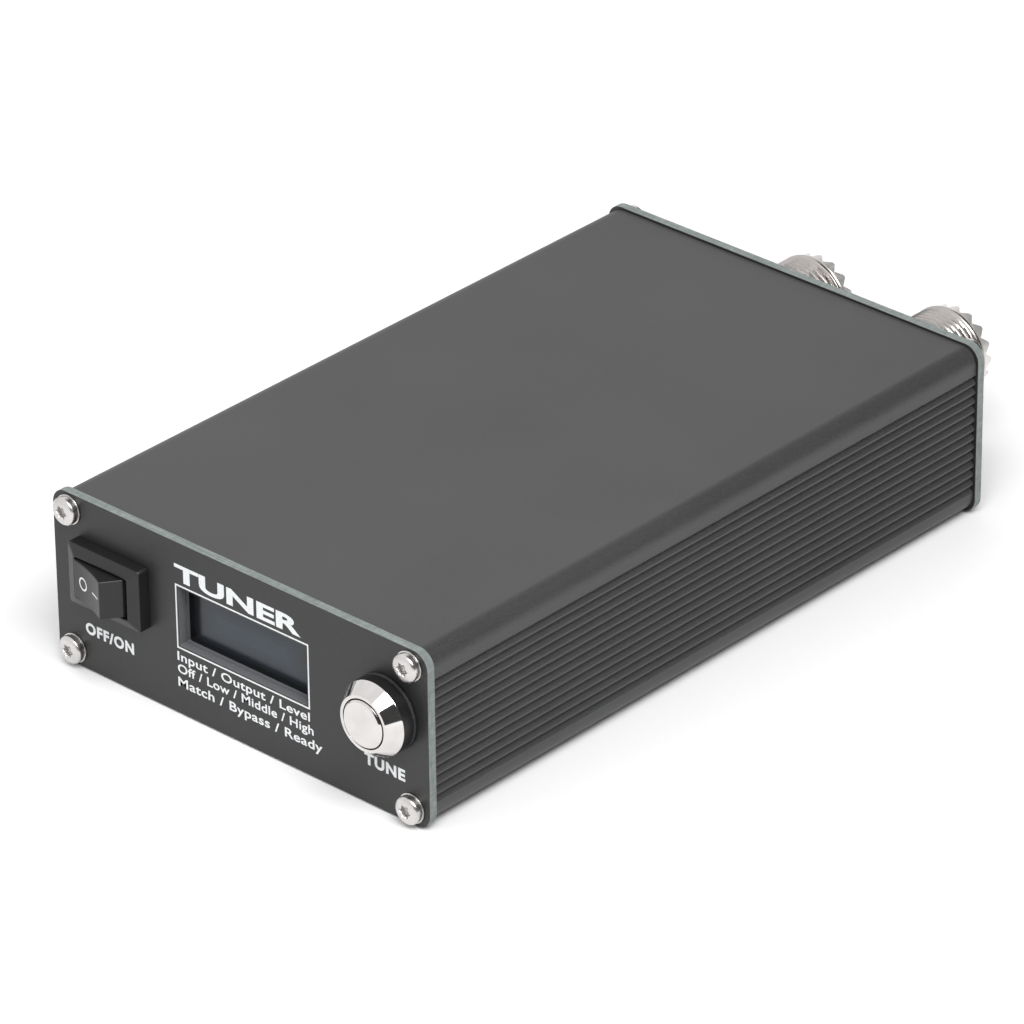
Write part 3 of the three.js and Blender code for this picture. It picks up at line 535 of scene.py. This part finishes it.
def sleeve_outline():
    """The sleeve's section, with V-shaped flutes down both sides."""
    low, high = span("case_shell")
    half = FLUTE["width"] / 2
    flutes = [FLUTE["top"] - i * FLUTE["pitch"] for i in range(FLUTE["count"])]
    corners = rectangle(low.x, high.x, low.z, high.z, SHELL_CORNER, 8)
    quarter = len(corners) // 4
    lower_left, lower_right = corners[:quarter], corners[quarter:2 * quarter]
    upper_right, upper_left = corners[2 * quarter:3 * quarter], corners[3 * quarter:]
    right, left = [], []
    for z in reversed(flutes):
        right += [(high.x, z - half), (high.x - FLUTE["depth"], z), (high.x, z + half)]
    for z in flutes:
        left += [(low.x, z + half), (low.x + FLUTE["depth"], z), (low.x, z - half)]
    right, left = (fillet(side, FLUTE_ROUND, 2, closed=False) for side in (right, left))
    return lower_left + lower_right + right + upper_right + upper_left + left


def sleeve_hollow():
    """The inside of the sleeve, with the slots that hold the board."""
    low, high = span("case_shell")
    x0, x1 = low.x + SHELL_SIDE, high.x - SHELL_SIDE
    z0, z1 = low.z + SHELL_FLAT, high.z - SHELL_FLAT
    reach, thick = RAIL["reach"], RAIL["thickness"]
    slot_low, slot_high = RAIL["low"], RAIL["high"]
    right = [
        (x1, slot_low - thick), (x1 - reach, slot_low - thick),
        (x1 - reach, slot_low), (x1, slot_low),
        (x1, slot_high), (x1 - reach, slot_high),
        (x1 - reach, slot_high + thick), (x1, slot_high + thick),
    ]
    left = [(x0 + x1 - x, z) for x, z in reversed(right)]
    return [(x0, z0), (x1, z0), *right, (x1, z1), (x0, z1), *left]


def build_case():
    low, high = span("case_shell")
    shell = plate("case_sleeve", sleeve_outline(), [sleeve_hollow()], low.y, high.y)
    aluminium = SLOT_FINISHES["anodised_aluminium"]
    piece("case_sleeve", shell, aluminium, stands_for=["case_shell"], crease=24)


def mark_sawn_edges(panel):
    """A panel's outer edge shows bare laminate, its holes a dark edge and its faces the lacquer."""
    low, high = span(panel)
    for face in bpy.data.meshes[panel + "_board"].polygons:
        sideways = abs(face.normal.y) < 0.5
        x, z = face.center.x / MM, face.center.z / MM
        outer = min(x - low.x, high.x - x, z - low.z, high.z - z) < 1.0
        face.material_index = (1 if outer else 2) if sideways else 0


def build_panel(panel, holes):
    low, high = span(panel)
    outline = rectangle(low.x, high.x, low.z, high.z, PANEL_CORNER, 12)
    bolt_holes = [circle(x, z, WASHER["inner"], 24) for x, z in screw_places().values()]
    name = panel + "_board"
    board = plate(name, outline, [*bolt_holes, *holes], low.y, high.y, PANEL_EDGE_ROUND)
    board.name = name
    piece(name, board, [MASK, EDGE, WINDOW_EDGE], stands_for=[panel])
    mark_sawn_edges(panel)


def window_outline():
    return rectangle(WINDOW["x0"], WINDOW["x1"], WINDOW["z0"], WINDOW["z1"], WINDOW_CORNER, 5)


def build_panels():
    switch_x, switch_z = middle("power_switch_housing")
    half_x = SWITCH_BODY["half_x"] + SWITCH_CUTOUT_GAP
    half_z = SWITCH_BODY["half_z"] + SWITCH_CUTOUT_GAP
    cutout = rectangle(switch_x - half_x, switch_x + half_x, switch_z - half_z, switch_z + half_z)
    button_hole = circle(*middle("tune_button_body"), BUTTON_HOLE)
    build_panel("front_panel", [window_outline(), cutout, button_hole])
    barrel = THREAD["major"] + SOCKET_GAP
    barrels = [circle(*middle(f"{role}_socket_body"), barrel) for role in ("input", "output")]
    build_panel("rear_panel", [*barrels, circle(*middle("supply_jack_body"), JACK_HOLE)])


def dome(radius):
    """How far the screw head stands forward of its wall at that radius."""
    share = min(radius / SCREW_HEAD["radius"], 1.0)
    return SCREW_HEAD["dome"] * (1 - share ** 2.6) ** (1 / 2.2)


def build_screw(end, corner, x, z):
    """A pan-head screw with a six-lobe recess, and its washer."""
    head = SCREW_HEAD
    low, high = span(f"{end}_panel")
    face, out = (low.y, -1) if end == "front" else (high.y, 1)
    wall_top = head["seat"] - head["wall"]

    def at(y):
        return face - out * y

    def lobe(angle):
        return RECESS["radius"] + RECESS["lobe"] * math.cos(6 * angle)

    def crown(radius):
        return (radius, at(wall_top - dome(radius)))

    floor = wall_top - head["dome"] + RECESS["depth"]
    rings = [(0, at(floor + 0.25)), lambda a: (0.9 * lobe(a), at(floor))]
    rings.append(lambda a: (lobe(a), at(wall_top - dome(lobe(a)) + 0.06)))
    rings.append(lambda a: crown(lobe(a) + 0.05))
    rings += [crown(r) for r in (1.35, 1.6, 1.85, 2.05, 2.2, 2.3, 2.355, 2.38)]
    rings += [(head["radius"], at(head["seat"] - 0.08)), (head["radius"] - 0.08, at(head["seat"]))]
    rings += [(head["shank"], at(head["seat"])), (head["shank"], at(head["end"]))]
    rings.append((0, at(head["end"])))
    name = f"{end}_screw_{corner}"
    mesh = turned(name + "_head", rings, x, z, 72)
    piece(name + "_head", mesh, STEEL, stands_for=[name], crease=40)

    front, back = WASHER["front"], WASHER["back"]
    inner, outer = WASHER["inner"], WASHER["outer"]
    section = [(inner, back), (outer, back), (outer, front), (inner, front)]
    ring = fillet(section, 0.06, 2)
    name = f"{end}_washer_{corner}"
    rings = [(radius, at(y)) for radius, y in ring + ring[:1]]
    piece(name + "_ring", turned(name + "_ring", rings, x, z, 64), STEEL, stands_for=[name])


def build_screws():
    for end in ("front", "rear"):
        for corner, (x, z) in screw_places().items():
            build_screw(end, corner, x, z)


# ---- print on the front panel ---------------------------------------------------------------


def lettering(name, text, x0, x1, z0, z1, weight, spacing):
    """Text in the built-in face, fitted to a rectangle on the front panel."""
    font = bpy.data.curves.new(name, "FONT")
    font.body = text
    font.size = 10
    font.offset = weight
    font.space_character = spacing
    font.resolution_u = 6
    font.extrude = PRINT / 2
    mesh = mesh_of(font)
    points = [v.co.copy() for v in mesh.vertices]
    left, right = min(p.x for p in points), max(p.x for p in points)
    bottom, top = min(p.y for p in points), max(p.y for p in points)
    for vertex, p in zip(mesh.vertices, points):
        across = x0 + (p.x - left) / (right - left) * (x1 - x0)
        up = z0 + (p.y - bottom) / (top - bottom) * (z1 - z0)
        vertex.co = in_frame((across, -PRINT / 2 - p.z, up))
    piece(name, mesh, INK)


def build_print():
    line = PRINTED_FRAME["line"]
    x0, x1, z0, z1 = (PRINTED_FRAME[key] for key in ("x0", "x1", "z0", "z1"))
    inside = rectangle(x0 + line, x1 - line, z0 + line, z1 - line)
    border = plate("print_window_frame", rectangle(x0, x1, z0, z1), [inside], -PRINT, 0)
    piece("print_window_frame", border, INK)
    for name, label in LABELS.items():
        lettering(name, *label)


# ---- power switch ---------------------------------------------------------------------------


def rectangle_loop(x, z, half_x, half_z, radius, y):
    outline = rectangle(x - half_x, x + half_x, z - half_z, z + half_z, radius, 6)
    return [(a, y, b) for a, b in outline]


def build_switch_housing():
    """Square sides off the panel, then a face that slopes up to the rim round the rocker."""
    x, z = middle("power_switch_housing")
    outer_x, outer_z, wall, rim = (BEZEL[key] for key in ("half_x", "half_z", "wall", "rim"))
    hole_x, hole_z, floor = (CAVITY[key] for key in ("half_x", "half_z", "floor"))
    body_x, body_z, back = (SWITCH_BODY[key] for key in ("half_x", "half_z", "back"))
    sections = [
        (body_x, body_z, 0.3, back),
        (body_x, body_z, 0.3, -0.1),
        (outer_x - 0.05, outer_z - 0.05, 0.5, -0.06),
        (outer_x, outer_z, 0.5, -0.12),
        (outer_x, outer_z, 0.5, -wall + 0.12),
        (outer_x - 0.08, outer_z - 0.08, 0.5, -wall - 0.05),
        (hole_x + 0.42, hole_z + 0.42, 0.4, -rim + 0.08),
        (hole_x + 0.3, hole_z + 0.3, 0.4, -rim),
        (hole_x + 0.08, hole_z + 0.08, 0.3, -rim),
        (hole_x, hole_z, 0.3, -rim + 0.08),
        (hole_x, hole_z, 0.3, floor),
    ]
    loops = [rectangle_loop(x, z, *section) for section in sections]
    loops = [[(x, back, z)], *loops, [(x, floor, z)]]
    mesh = loft("switch_bezel", loops)
    piece("switch_bezel", mesh, PLASTIC, stands_for=["power_switch_housing"])


def rocker_point(a, b, z):
    """A point of the rocker's own drawing, about its pivot, as it stands at rest."""
    pivot_x, pivot_z = middle("power_switch_housing")
    turn = math.radians(ROCKER["rest"])
    x = a * math.cos(turn) - b * math.sin(turn)
    y = a * math.sin(turn) + b * math.cos(turn)
    return (pivot_x + x, ROCKER["pivot_y"] + y, pivot_z + z)


def rocker_face(a):
    """Where the dished front face stands, across the rocker."""
    tip_a, tip_b = ROCKER_PROFILE[0]
    return tip_b + ROCKER["dish"] * (1 - (a / tip_a) ** 2)


def build_rocker():
    tip_a = ROCKER_PROFILE[0][0]
    face = [(tip_a * (1 - 2 * k / 16), 0) for k in range(17)]
    face = [(a, rocker_face(a)) for a, _ in face]
    left = [(-a, b) for a, b in ROCKER_PROFILE[1:]]
    right = list(reversed(ROCKER_PROFILE[1:]))
    outline = fillet(face + left + right, ROCKER_ROUND["ends"], 3)
    outline = [rocker_point(a, b, 0)[:2] for a, b in outline]
    pivot_z = middle("power_switch_housing")[1]
    half = ROCKER["half_z"]
    low_z, high_z = pivot_z - half, pivot_z + half
    mesh = plate("switch_rocker", outline, [], low_z, high_z, ROCKER_ROUND["sides"], upright=False)
    piece("switch_rocker", mesh, PLASTIC, "rocker", ["power_switch_rocker"], crease=28)


def on_rocker(a, z):
    return rocker_point(a, rocker_face(a) - PRINT, z)


def build_rocker_marks():
    """The ring for off and the bar for on, lying on the dished face."""
    angles = [TAU * k / 48 for k in range(48)]
    ring = [
        [on_rocker(MARK_OFF["a"] + r * math.cos(angle), r * math.sin(angle)) for angle in angles]
        for r in (MARK_OFF["inner"], MARK_OFF["outer"])
    ]
    piece("rocker_mark_off", loft("rocker_mark_off", ring), INK, "rocker")
    half = MARK_ON["half_width"]
    places = [MARK_ON["start"] + MARK_ON["length"] * k / 8 for k in range(9)]
    bar = [[on_rocker(a, z) for z in (-half, half)] for a in places]
    points = [in_frame(p) for pair in bar for p in pair]
    faces = [(2 * k, 2 * k + 1, 2 * k + 3, 2 * k + 2) for k in range(8)]
    mesh = bpy.data.meshes.new("rocker_mark_on")
    mesh.from_pydata(points, [], faces)
    piece("rocker_mark_on", mesh, INK, "rocker")


# ---- tuning button --------------------------------------------------------------------------


def lathe(name, node, section, radius, material, body="case", closed=False, columns=96, crease=32):
    """A turned part from its section of (radius, y) points, with small rounds at the corners."""
    rings = fillet(section, radius, 3, closed=closed)
    if closed:
        rings.append(rings[0])
    mesh = turned(name, rings, *middle(node), columns)
    return piece(name, mesh, material, body, [node], crease)


def build_button():
    finishes = [CHROME, PLASTIC]
    bezel = lathe("button_bezel", "tune_button_body", BUTTON_BEZEL, 0.1, finishes, closed=True)
    # painted reflection: faces behind that depth take black plastic, standing for the chrome wall
    # reflecting the dark panel
    for face in bezel.data.polygons:
        depth = (face.center.y - FACE_Y) / MM
        face.material_index = 1 if depth > PAINTED_DARK_REFLECTION_FROM else 0
    lathe("button_cap", "tune_button_cap", BUTTON_CAP, 0.06, CHROME, "button_cap")
    rubber_finish = SLOT_FINISHES["rubber"]
    lathe("button_seal", "tune_button_oring", BUTTON_SEAL, 0.3, rubber_finish, closed=True)


# ---- display --------------------------------------------------------------------------------


def build_display():
    low, high = span("display_glass")
    outline = rectangle(low.x, high.x, low.z, high.z)
    pane = plate("display_pane", outline, [], low.y, high.y, 0.06)
    piece("display_pane", pane, SLOT_FINISHES["display_glass"], stands_for=["display_glass"])
    low, high = span("display_spacer")
    outline = rectangle(low.x, high.x, low.z, high.z, SURROUND_CORNER)
    surround = plate("display_surround", outline, [window_outline()], low.y, high.y)
    piece("display_surround", surround, WINDOW_EDGE, stands_for=["display_spacer"])


# ---- sockets and jack -----------------------------------------------------------------------


def hex_nut(name, node, flats, hole, y0, y1, material, turn=0.0):
    """A hexagonal nut, its corners chamfered at both faces."""
    flat = flats / 2
    face = flat * 0.97

    def corner(angle):
        slice_angle = math.radians(60)
        return flat / math.cos((angle - turn) % slice_angle - slice_angle / 2)

    def shoulder(y, inward):
        return lambda a: (corner(a), y + inward * (corner(a) - face) * 0.55)

    rings = [
        (hole, y0 + 0.3), (hole + 0.3, y0), (face, y0), shoulder(y0, 1),
        shoulder(y1, -1), (face, y1), (hole + 0.3, y1), (hole, y1 - 0.3), (hole, y0 + 0.3),
    ]
    piece(name, turned(name, rings, *middle(node), 120), material, stands_for=[node], crease=20)


def thread_rings(start, end):
    """Rings down a 60-degree thread, fading out at both ends."""
    pitch, depth = THREAD["pitch"], THREAD["depth"]
    count = round((end - start) / pitch * THREAD["samples"])

    def ring(y):
        fade = min(1.0, (y - start) / pitch, (end - y) / pitch)

        def at(angle):
            phase = (y / pitch - angle / TAU) % 1.0
            groove = min(1.0, max(0.0, 1.25 - 2.5 * abs(phase - 0.5)))
            return (THREAD["major"] - depth * max(fade, 0.0) * groove, y)

        return at

    return [ring(start + (end - start) * k / count) for k in range(count + 1)]


def build_socket(role):
    node = f"{role}_socket_body"
    rear = span("rear_panel")[1].y
    tip = span(node)[1].y
    rim, bore, flange = SOCKET["rim"], SOCKET["bore"], SOCKET["flange"]
    flange_front = rear - PANEL_THICKNESS - 0.05
    flange_back = rear - SOCKET["flange_back"]
    thread_end = tip - SOCKET["rim_length"] - 0.4

    def crown(radius, lift=0.0):
        def at(angle):
            share = (angle * TEETH["count"] / TAU) % 1.0
            notch = max(0.0, 1 - abs(share - 0.5) / TEETH["gap"])
            return (radius, tip - lift - TEETH["depth"] * notch)

        return at

    rings = [(bore, flange_back), (flange, flange_back), (flange, flange_front)]
    rings.append((THREAD["major"], flange_front))
    rings += thread_rings(rear + 0.2, thread_end)
    rings += [(rim + 0.08, thread_end + 0.3), (rim, thread_end + 0.4), (rim, tip - 1.7)]
    rings += [crown(rim, 0.06), crown(rim - 0.06), crown(bore + 0.06), crown(bore, 0.06)]
    rings += [(bore, tip - 1.9), (bore, flange_back)]
    columns = TEETH["count"] * TEETH["columns"]
    mesh = turned(f"{role}_barrel", rings, *middle(node), columns)
    barrel = piece(f"{role}_barrel", mesh, [NICKEL, NICKEL_RIM], stands_for=[node], crease=38)
    for face in barrel.data.polygons:
        depth = (face.center.y - FACE_Y) / MM
        face.material_index = 1 if depth > thread_end + 0.3 else 0

    nut_low, nut_high = span(f"{role}_socket_nut")
    flats, hole = SOCKET_NUT["flats"], SOCKET_NUT["hole"]
    nut = f"{role}_socket_nut"
    hex_nut(f"{role}_hex_nut", nut, flats, hole, nut_low.y, nut_high.y, NICKEL)

    low, high = span(f"{role}_socket_insulator")
    section = [
        (2.55, low.y), (4.2, low.y), (4.2, low.y + 2), (6.05, low.y + 2),
        (6.05, high.y), (4.9, high.y), (4.6, high.y - 0.4),
        (3.4, high.y - 0.4), (3.1, high.y), (2.55, high.y),
    ]
    white = SLOT_FINISHES["white_plastic"]
    lathe(f"{role}_dielectric", f"{role}_socket_insulator", section, 0.12, white, closed=True)

    low, high = span(f"{role}_socket_contact")
    section = [
        (0, low.y), (1.6, low.y), (1.6, low.y + 4.7), (2.5, low.y + 4.7),
        (2.5, high.y), (2.0, high.y), (2.0, high.y - 11.7), (0, high.y - 11.7),
    ]
    lathe(f"{role}_centre_contact", f"{role}_socket_contact", section, 0.1, BRASS, columns=64)


def build_jack():
    low, high = span("supply_jack_body")
    seat = span("rear_panel")[1].y + 0.05
    section = [
        (0, low.y), (3.95, low.y), (3.95, seat), (5.6, seat), (5.6, high.y - 0.5), (5.1, high.y),
        (3.3, high.y), (2.85, high.y - 0.5), (2.85, high.y - 9.5), (0, high.y - 9.5),
    ]
    lathe("supply_jack_shell", "supply_jack_body", section, 0.15, PLASTIC)
    low, high = span("supply_jack_pin")
    section = [(0, low.y), (1.0, low.y), (1.0, high.y - 0.4), (0.7, high.y), (0, high.y)]
    lathe("supply_jack_centre", "supply_jack_pin", section, 0.15, NICKEL, columns=48)


# ---- studio ---------------------------------------------------------------------------------

CAMERA = {
    "azimuth": 42.6899, "elevation": 29.2619, "roll": -0.6607,
    "distance": 1104.5, "target": (0.426, 61.99, 14.888), "lens": 243.4,
}


TENT = {"bright": 1.05, "dark": 0.07}


def build_camera():
    data = bpy.data.cameras.new("camera")
    data.lens = CAMERA["lens"]
    data.clip_start, data.clip_end = 0.05, 20
    camera = bpy.data.objects.new("camera", data)
    bpy.context.scene.collection.objects.link(camera)
    angles = (CAMERA["azimuth"], CAMERA["elevation"], CAMERA["roll"])
    azimuth, elevation, roll = (math.radians(angle) for angle in angles)
    level = math.cos(elevation)
    back = Vector((math.sin(azimuth) * level, -math.cos(azimuth) * level, math.sin(elevation)))
    right = Vector((0, 0, 1)).cross(back).normalized()
    up = back.cross(right)
    rolled_right = math.cos(roll) * right + math.sin(roll) * up
    rolled_up = math.cos(roll) * up - math.sin(roll) * right
    turn = camera.matrix_world.to_3x3()
    turn.col[0], turn.col[1], turn.col[2] = rolled_right, rolled_up, back
    camera.matrix_world = turn.to_4x4()
    camera.location = Vector(in_frame(CAMERA["target"])) + back * CAMERA["distance"] * MM
    bpy.context.scene.camera = camera


def area_light(name, place, aim, size, power):
    data = bpy.data.lights.new(name, "AREA")
    data.shape = "RECTANGLE"
    data.size, data.size_y = size
    data.energy = power
    light = bpy.data.objects.new(name, data)
    bpy.context.scene.collection.objects.link(light)
    light.location = place
    light.rotation_euler = (Vector(aim) - Vector(place)).to_track_quat("-Z", "Y").to_euler()


def tent_world():
    """Surroundings bright in front and to the left, and dark behind and low on the right."""
    world = bpy.data.worlds.new("tent")
    world.use_nodes = True
    nodes, links = world.node_tree.nodes, world.node_tree.links
    direction = nodes.new("ShaderNodeSeparateXYZ")
    links.new(nodes.new("ShaderNodeTexCoord").outputs["Generated"], direction.inputs["Vector"])

    def ramp(value, start, end):
        node = nodes.new("ShaderNodeMapRange")
        node.interpolation_type = "SMOOTHSTEP"
        links.new(value, node.inputs["Value"])
        node.inputs["From Min"].default_value = start
        node.inputs["From Max"].default_value = end
        return node.outputs["Result"]

    def combine(operation, first, second):
        node = nodes.new("ShaderNodeMath")
        node.operation = operation
        links.new(first, node.inputs[0])
        links.new(second, node.inputs[1])
        return node.outputs[0]

    across, back, up = (direction.outputs[axis] for axis in "XYZ")
    behind = combine("MULTIPLY", ramp(across, -0.5, -0.2), ramp(back, 0.0, 0.3))
    beside = combine("MULTIPLY", ramp(across, 0.05, 0.45), ramp(up, 0.85, 0.6))
    dark = combine("MAXIMUM", behind, beside)
    strength = nodes.new("ShaderNodeMapRange")
    links.new(dark, strength.inputs["Value"])
    strength.inputs["To Min"].default_value = TENT["bright"]
    strength.inputs["To Max"].default_value = TENT["dark"]
    links.new(strength.outputs["Result"], nodes["Background"].inputs["Strength"])
    nodes["Background"].inputs["Color"].default_value = (1, 1, 1, 1)
    return world


def build_studio():
    """A pale table in a bright tent, with a large soft light over its front right."""
    mesh = bpy.data.meshes.new("floor")
    half = 4.0
    below = -0.0003
    corners = [(x * half, y * half, below) for x, y in ((-1, -1), (1, -1), (1, 1), (-1, 1))]
    mesh.from_pydata(corners, [], [(0, 1, 2, 3)])
    floor = bpy.data.objects.new("floor", mesh)
    bpy.context.scene.collection.objects.link(floor)
    mesh.materials.append(pale_floor())

    bpy.context.scene.world = tent_world()
    bpy.context.scene.view_settings.view_transform = "Standard"

    area_light("key", (0.55, -0.35, 0.9), (0, 0, 0), (1.0, 0.6), 13.5)


finish_cad_nodes()
build_case()
build_panels()
build_screws()
build_print()
build_switch_housing()
build_rocker()
build_rocker_marks()
build_button()
build_display()
for socket_role in ("input", "output"):
    build_socket(socket_role)
build_jack()
build_camera()
build_studio()
